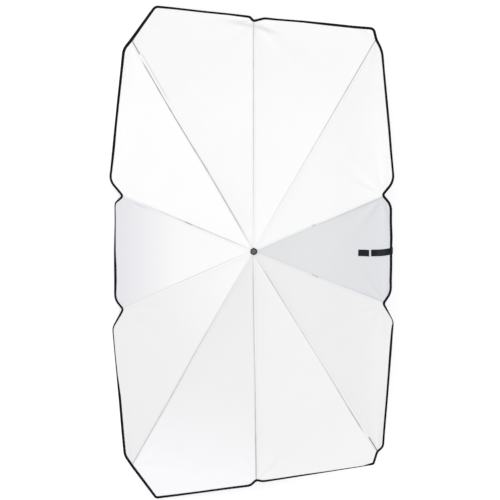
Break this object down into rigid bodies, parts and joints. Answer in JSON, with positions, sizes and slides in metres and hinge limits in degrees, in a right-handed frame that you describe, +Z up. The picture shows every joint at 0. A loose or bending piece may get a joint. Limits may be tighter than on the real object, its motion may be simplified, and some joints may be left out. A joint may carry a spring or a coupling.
{
  "type": "windscreen sunshade",
  "caption": "Umbrella-type folding windscreen sunshade: hinged ribs and a sliding runner spread a near rectangular white fabric canopy with a black bound rim and a closing strap",
  "frame": {"origin": "centre of the bounding box, on the surface that the shade lies on", "axes": "+Y along the long side of the canopy, +Z up, +X from the lower long rim towards the higher one"},
  "size_m": [0.7228, 1.4576, 0.4633],
  "materials": {
    "fabric": "matte",
    "webbing": "matte",
    "rib_steel": "satin",
    "rod": "satin",
    "shaft_steel": "gloss",
    "plastic": "satin",
    "cap_grey": "satin",
    "button_grey": "satin"
  },
  "bodies": {
    "frame": {"shaft_tube": "shaft_steel", "crown": "plastic", "crown_wire": "rib_steel", "top_cap": "cap_grey", "handle": "plastic", "handle_end_cap": "button_grey", "edge_binding_left": "webbing"},
    "runner": {"runner": "plastic", "runner_wire": "rib_steel"},
    "catch_button": {"catch_button": "button_grey"},
    "inner_right_high": {"inner_rib_right_high": "rib_steel", "gore_right_high": "fabric"},
    "outer_right_high": {"outer_rib_right_high": "rod"},
    "stretcher_right_high": {"stretcher_right_high": "rib_steel"},
    "inner_corner_right_high": {"inner_rib_corner_right_high": "rib_steel", "gore_corner_right_high": "fabric", "edge_binding_high": "webbing"},
    "middle_corner_right_high": {"middle_rib_corner_right_high": "rib_steel"},
    "outer_corner_right_high": {"outer_rib_corner_right_high": "rod"},
    "stretcher_corner_right_high": {"stretcher_corner_right_high": "rib_steel"},
    "inner_end_high": {"inner_rib_end_high": "rib_steel", "gore_end_high": "fabric"},
    "middle_end_high": {"middle_rib_end_high": "rib_steel"},
    "outer_end_high": {"outer_rib_end_high": "rod"},
    "stretcher_end_high": {"stretcher_end_high": "rib_steel"},
    "inner_corner_left_high": {"inner_rib_corner_left_high": "rib_steel", "gore_corner_left_high": "fabric"},
    "middle_corner_left_high": {"middle_rib_corner_left_high": "rib_steel"},
    "outer_corner_left_high": {"outer_rib_corner_left_high": "rod"},
    "stretcher_corner_left_high": {"stretcher_corner_left_high": "rib_steel"},
    "inner_left_high": {"inner_rib_left_high": "rib_steel", "gore_left_high": "fabric"},
    "outer_left_high": {"outer_rib_left_high": "rod"},
    "stretcher_left_high": {"stretcher_left_high": "rib_steel"},
    "inner_left_low": {"inner_rib_left_low": "rib_steel", "gore_left_low": "fabric"},
    "outer_left_low": {"outer_rib_left_low": "rod"},
    "stretcher_left_low": {"stretcher_left_low": "rib_steel"},
    "inner_corner_left_low": {"inner_rib_corner_left_low": "rib_steel", "gore_corner_left_low": "fabric"},
    "middle_corner_left_low": {"middle_rib_corner_left_low": "rib_steel"},
    "outer_corner_left_low": {"outer_rib_corner_left_low": "rod"},
    "stretcher_corner_left_low": {"stretcher_corner_left_low": "rib_steel"},
    "inner_end_low": {"inner_rib_end_low": "rib_steel", "gore_end_low": "fabric"},
    "middle_end_low": {"middle_rib_end_low": "rib_steel"},
    "outer_end_low": {"outer_rib_end_low": "rod"},
    "stretcher_end_low": {"stretcher_end_low": "rib_steel"},
    "inner_corner_right_low": {"inner_rib_corner_right_low": "rib_steel", "gore_corner_right_low": "fabric", "edge_binding_low": "webbing"},
    "middle_corner_right_low": {"middle_rib_corner_right_low": "rib_steel"},
    "outer_corner_right_low": {"outer_rib_corner_right_low": "rod"},
    "stretcher_corner_right_low": {"stretcher_corner_right_low": "rib_steel"},
    "inner_right_low": {"inner_rib_right_low": "rib_steel", "gore_right_low": "fabric", "strap": "webbing", "hook_patch": "webbing"},
    "outer_right_low": {"outer_rib_right_low": "rod"},
    "stretcher_right_low": {"stretcher_right_low": "rib_steel"}
  },
  "joints": [
    {"name": "runner_slide", "type": "slide", "parent": "frame", "child": "runner", "axis": [0.5138, 0, -0.8579], "range_m": [0, 0.16061], "deforming": ["gore_right_high", "gore_corner_right_high", "gore_end_high", "gore_corner_left_high", "gore_left_high", "gore_left_low", "gore_corner_left_low", "gore_end_low", "gore_corner_right_low", "gore_right_low", "edge_binding_left", "edge_binding_high", "edge_binding_low", "strap", "hook_patch"]},
    {"name": "catch_button_press", "type": "slide", "parent": "runner", "child": "catch_button", "axis": [-0.8579, 0, -0.5138], "range_m": [0, 0.0011], "stiffness_N_per_m": 400, "springref_m": -0.001},
    {"name": "inner_hinge_right_high", "type": "hinge", "parent": "frame", "child": "inner_right_high", "pos_m": [-0.01953, 0.00656, 0.30124], "axis": [-0.3407, 0.9178, -0.2041], "range_deg": [0, 84.01]},
    {"name": "outer_hinge_right_high", "type": "hinge", "parent": "inner_right_high", "child": "outer_right_high", "pos_m": [0.14472, 0.08579, 0.38336], "axis": [-0.3407, 0.9178, -0.2041], "range_deg": [-185.01, 0]},
    {"name": "stretcher_hinge_right_high", "type": "hinge", "parent": "runner", "child": "stretcher_right_high", "pos_m": [0.02027, 0.00922, 0.23256], "axis": [-0.3407, 0.9178, -0.2041], "range_deg": [-56.58, 0]},
    {"name": "inner_hinge_corner_right_high", "type": "hinge", "parent": "frame", "child": "inner_corner_right_high", "pos_m": [-0.02326, 0.01146, 0.299], "axis": [-0.7415, 0.503, -0.4441], "range_deg": [0, 84.01]},
    {"name": "middle_hinge_corner_right_high", "type": "hinge", "parent": "inner_corner_right_high", "child": "middle_corner_right_high", "pos_m": [0.08632, 0.21407, 0.34553], "axis": [-0.7415, 0.503, -0.4441], "range_deg": [-183.01, 0]},
    {"name": "outer_hinge_corner_right_high", "type": "hinge", "parent": "middle_corner_right_high", "child": "outer_corner_right_high", "pos_m": [0.20517, 0.41477, 0.37443], "axis": [-0.7415, 0.503, -0.4441], "range_deg": [0, 173.51]},
    {"name": "stretcher_hinge_corner_right_high", "type": "hinge", "parent": "runner", "child": "stretcher_corner_right_high", "pos_m": [0.01537, 0.01292, 0.22962], "axis": [-0.7415, 0.503, -0.4441], "range_deg": [-56.58, 0]},
    {"name": "inner_hinge_end_high", "type": "hinge", "parent": "frame", "child": "inner_end_high", "pos_m": [-0.02779, 0.01289, 0.29629], "axis": [-0.8579, 0, -0.5138], "range_deg": [0, 84.01]},
    {"name": "middle_hinge_end_high", "type": "hinge", "parent": "inner_end_high", "child": "middle_end_high", "pos_m": [-0.01937, 0.24732, 0.28223], "axis": [-0.8579, 0, -0.5138], "range_deg": [-183.01, 0]},
    {"name": "outer_hinge_end_high", "type": "hinge", "parent": "middle_end_high", "child": "outer_end_high", "pos_m": [-0.00073, 0.47953, 0.25111], "axis": [-0.8579, 0, -0.5138], "range_deg": [0, 173.51]},
    {"name": "stretcher_hinge_end_high", "type": "hinge", "parent": "runner", "child": "stretcher_end_high", "pos_m": [0.0105, 0.01289, 0.22671], "axis": [-0.8579, 0, -0.5138], "range_deg": [-56.58, 0]},
    {"name": "inner_hinge_corner_left_high", "type": "hinge", "parent": "frame", "child": "inner_corner_left_high", "pos_m": [-0.0323, 0.01148, 0.29359], "axis": [-0.743, -0.5, -0.445], "range_deg": [0, 84.01]},
    {"name": "middle_hinge_corner_left_high", "type": "hinge", "parent": "inner_corner_left_high", "child": "middle_corner_left_high", "pos_m": [-0.12443, 0.2145, 0.2193], "axis": [-0.743, -0.5, -0.445], "range_deg": [-183.01, 0]},
    {"name": "outer_hinge_corner_left_high", "type": "hinge", "parent": "middle_corner_left_high", "child": "outer_corner_left_high", "pos_m": [-0.2054, 0.4156, 0.12853], "axis": [-0.743, -0.5, -0.445], "range_deg": [0, 173.51]},
    {"name": "stretcher_hinge_corner_left_high", "type": "hinge", "parent": "runner", "child": "stretcher_corner_left_high", "pos_m": [0.00633, 0.01003, 0.22421], "axis": [-0.743, -0.5, -0.445], "range_deg": [-56.58, 0]},
    {"name": "inner_hinge_left_high", "type": "hinge", "parent": "frame", "child": "inner_left_high", "pos_m": [-0.0361, 0.00646, 0.29131], "axis": [-0.3324, -0.9219, -0.1991], "range_deg": [0, 84.01]},
    {"name": "outer_hinge_left_high", "type": "hinge", "parent": "inner_left_high", "child": "outer_left_high", "pos_m": [-0.18672, 0.08377, 0.18484], "axis": [-0.3324, -0.9219, -0.1991], "range_deg": [-185.01, 0]},
    {"name": "stretcher_hinge_left_high", "type": "hinge", "parent": "runner", "child": "stretcher_left_high", "pos_m": [0.00372, 0.00378, 0.22265], "axis": [-0.3324, -0.9219, -0.1991], "range_deg": [-56.58, 0]},
    {"name": "inner_hinge_left_low", "type": "hinge", "parent": "frame", "child": "inner_left_low", "pos_m": [-0.03604, -0.00183, 0.29135], "axis": [0.3448, -0.9157, 0.2065], "range_deg": [0, 84.01]},
    {"name": "outer_hinge_left_low", "type": "hinge", "parent": "inner_left_low", "child": "outer_left_low", "pos_m": [-0.1856, -0.08203, 0.18551], "axis": [0.3448, -0.9157, 0.2065], "range_deg": [-185.01, 0]},
    {"name": "stretcher_hinge_left_low", "type": "hinge", "parent": "runner", "child": "stretcher_left_low", "pos_m": [0.00574, -0.00449, 0.22385], "axis": [0.3448, -0.9157, 0.2065], "range_deg": [-56.58, 0]},
    {"name": "inner_hinge_corner_left_low", "type": "hinge", "parent": "frame", "child": "inner_corner_left_low", "pos_m": [-0.03227, -0.00672, 0.29361], "axis": [0.7445, -0.497, 0.4459], "range_deg": [0, 84.01]},
    {"name": "middle_hinge_corner_left_low", "type": "hinge", "parent": "inner_corner_left_low", "child": "middle_corner_left_low", "pos_m": [-0.1238, -0.21015, 0.21968], "axis": [0.7445, -0.497, 0.4459], "range_deg": [-183.01, 0]},
    {"name": "outer_hinge_corner_left_low", "type": "hinge", "parent": "middle_corner_left_low", "child": "outer_corner_left_low", "pos_m": [-0.20416, -0.41166, 0.12927], "axis": [0.7445, -0.497, 0.4459], "range_deg": [0, 173.51]},
    {"name": "stretcher_hinge_corner_left_low", "type": "hinge", "parent": "runner", "child": "stretcher_corner_left_low", "pos_m": [0.01067, -0.00816, 0.22681], "axis": [0.7445, -0.497, 0.4459], "range_deg": [-56.58, 0]},
    {"name": "inner_hinge_end_low", "type": "hinge", "parent": "frame", "child": "inner_end_low", "pos_m": [-0.02768, -0.00811, 0.29635], "axis": [0.8578, 0.0122, 0.5138], "range_deg": [0, 84.01]},
    {"name": "middle_hinge_end_low", "type": "hinge", "parent": "inner_end_low", "child": "middle_end_low", "pos_m": [-0.0168, -0.24252, 0.28376], "axis": [0.8578, 0.0122, 0.5138], "range_deg": [-183.01, 0]},
    {"name": "outer_hinge_end_low", "type": "hinge", "parent": "middle_end_low", "child": "outer_end_low", "pos_m": [0.00427, -0.47471, 0.2541], "axis": [0.8578, 0.0122, 0.5138], "range_deg": [0, 173.51]},
    {"name": "stretcher_hinge_end_low", "type": "hinge", "parent": "runner", "child": "stretcher_end_low", "pos_m": [0.01559, -0.00808, 0.22975], "axis": [0.8578, 0.0122, 0.5138], "range_deg": [-56.58, 0]},
    {"name": "inner_hinge_corner_right_low", "type": "hinge", "parent": "frame", "child": "inner_corner_right_low", "pos_m": [-0.02305, -0.00654, 0.29913], "axis": [0.7291, 0.527, 0.4367], "range_deg": [0, 84.01]},
    {"name": "middle_hinge_corner_right_low", "type": "hinge", "parent": "inner_corner_right_low", "child": "middle_corner_right_low", "pos_m": [0.09135, -0.20577, 0.34854], "axis": [0.7291, 0.527, 0.4367], "range_deg": [-183.01, 0]},
    {"name": "outer_hinge_corner_right_low", "type": "hinge", "parent": "middle_corner_right_low", "child": "outer_corner_right_low", "pos_m": [0.21497, -0.40313, 0.3803], "axis": [0.7291, 0.527, 0.4367], "range_deg": [0, 173.51]},
    {"name": "stretcher_hinge_corner_right_low", "type": "hinge", "parent": "runner", "child": "stretcher_corner_right_low", "pos_m": [0.01985, -0.00501, 0.23231], "axis": [0.7291, 0.527, 0.4367], "range_deg": [-56.58, 0]},
    {"name": "inner_hinge_right_low", "type": "hinge", "parent": "frame", "child": "inner_right_low", "pos_m": [-0.01943, -0.00149, 0.3013], "axis": [0.3172, 0.9291, 0.19], "range_deg": [0, 84.01]},
    {"name": "outer_hinge_right_low", "type": "hinge", "parent": "inner_right_low", "child": "outer_right_low", "pos_m": [0.14677, -0.07526, 0.38458], "axis": [0.3172, 0.9291, 0.19], "range_deg": [-185.01, 0]},
    {"name": "stretcher_hinge_right_low", "type": "hinge", "parent": "runner", "child": "stretcher_right_low", "pos_m": [0.02228, 0.0012, 0.23376], "axis": [0.3172, 0.9291, 0.19], "range_deg": [-56.58, 0]}
  ],
  "couplings": [
    {"joint": "inner_hinge_right_high", "follows": "runner_slide", "rad_per_m": 9.1283},
    {"joint": "outer_hinge_right_high", "follows": "runner_slide", "rad_per_m": -20.104},
    {"joint": "stretcher_hinge_right_high", "follows": "runner_slide", "rad_per_m": -6.1478},
    {"joint": "inner_hinge_corner_right_high", "follows": "runner_slide", "rad_per_m": 9.1283},
    {"joint": "middle_hinge_corner_right_high", "follows": "runner_slide", "rad_per_m": -19.887},
    {"joint": "outer_hinge_corner_right_high", "follows": "runner_slide", "rad_per_m": 18.854},
    {"joint": "stretcher_hinge_corner_right_high", "follows": "runner_slide", "rad_per_m": -6.1478},
    {"joint": "inner_hinge_end_high", "follows": "runner_slide", "rad_per_m": 9.1283},
    {"joint": "middle_hinge_end_high", "follows": "runner_slide", "rad_per_m": -19.887},
    {"joint": "outer_hinge_end_high", "follows": "runner_slide", "rad_per_m": 18.854},
    {"joint": "stretcher_hinge_end_high", "follows": "runner_slide", "rad_per_m": -6.1478},
    {"joint": "inner_hinge_corner_left_high", "follows": "runner_slide", "rad_per_m": 9.1283},
    {"joint": "middle_hinge_corner_left_high", "follows": "runner_slide", "rad_per_m": -19.887},
    {"joint": "outer_hinge_corner_left_high", "follows": "runner_slide", "rad_per_m": 18.854},
    {"joint": "stretcher_hinge_corner_left_high", "follows": "runner_slide", "rad_per_m": -6.1478},
    {"joint": "inner_hinge_left_high", "follows": "runner_slide", "rad_per_m": 9.1283},
    {"joint": "outer_hinge_left_high", "follows": "runner_slide", "rad_per_m": -20.104},
    {"joint": "stretcher_hinge_left_high", "follows": "runner_slide", "rad_per_m": -6.1478},
    {"joint": "inner_hinge_left_low", "follows": "runner_slide", "rad_per_m": 9.1283},
    {"joint": "outer_hinge_left_low", "follows": "runner_slide", "rad_per_m": -20.104},
    {"joint": "stretcher_hinge_left_low", "follows": "runner_slide", "rad_per_m": -6.1478},
    {"joint": "inner_hinge_corner_left_low", "follows": "runner_slide", "rad_per_m": 9.1283},
    {"joint": "middle_hinge_corner_left_low", "follows": "runner_slide", "rad_per_m": -19.887},
    {"joint": "outer_hinge_corner_left_low", "follows": "runner_slide", "rad_per_m": 18.854},
    {"joint": "stretcher_hinge_corner_left_low", "follows": "runner_slide", "rad_per_m": -6.1478},
    {"joint": "inner_hinge_end_low", "follows": "runner_slide", "rad_per_m": 9.1283},
    {"joint": "middle_hinge_end_low", "follows": "runner_slide", "rad_per_m": -19.887},
    {"joint": "outer_hinge_end_low", "follows": "runner_slide", "rad_per_m": 18.854},
    {"joint": "stretcher_hinge_end_low", "follows": "runner_slide", "rad_per_m": -6.1478},
    {"joint": "inner_hinge_corner_right_low", "follows": "runner_slide", "rad_per_m": 9.1283},
    {"joint": "middle_hinge_corner_right_low", "follows": "runner_slide", "rad_per_m": -19.887},
    {"joint": "outer_hinge_corner_right_low", "follows": "runner_slide", "rad_per_m": 18.854},
    {"joint": "stretcher_hinge_corner_right_low", "follows": "runner_slide", "rad_per_m": -6.1478},
    {"joint": "inner_hinge_right_low", "follows": "runner_slide", "rad_per_m": 9.1283},
    {"joint": "outer_hinge_right_low", "follows": "runner_slide", "rad_per_m": -20.104},
    {"joint": "stretcher_hinge_right_low", "follows": "runner_slide", "rad_per_m": -6.1478}
  ]
}
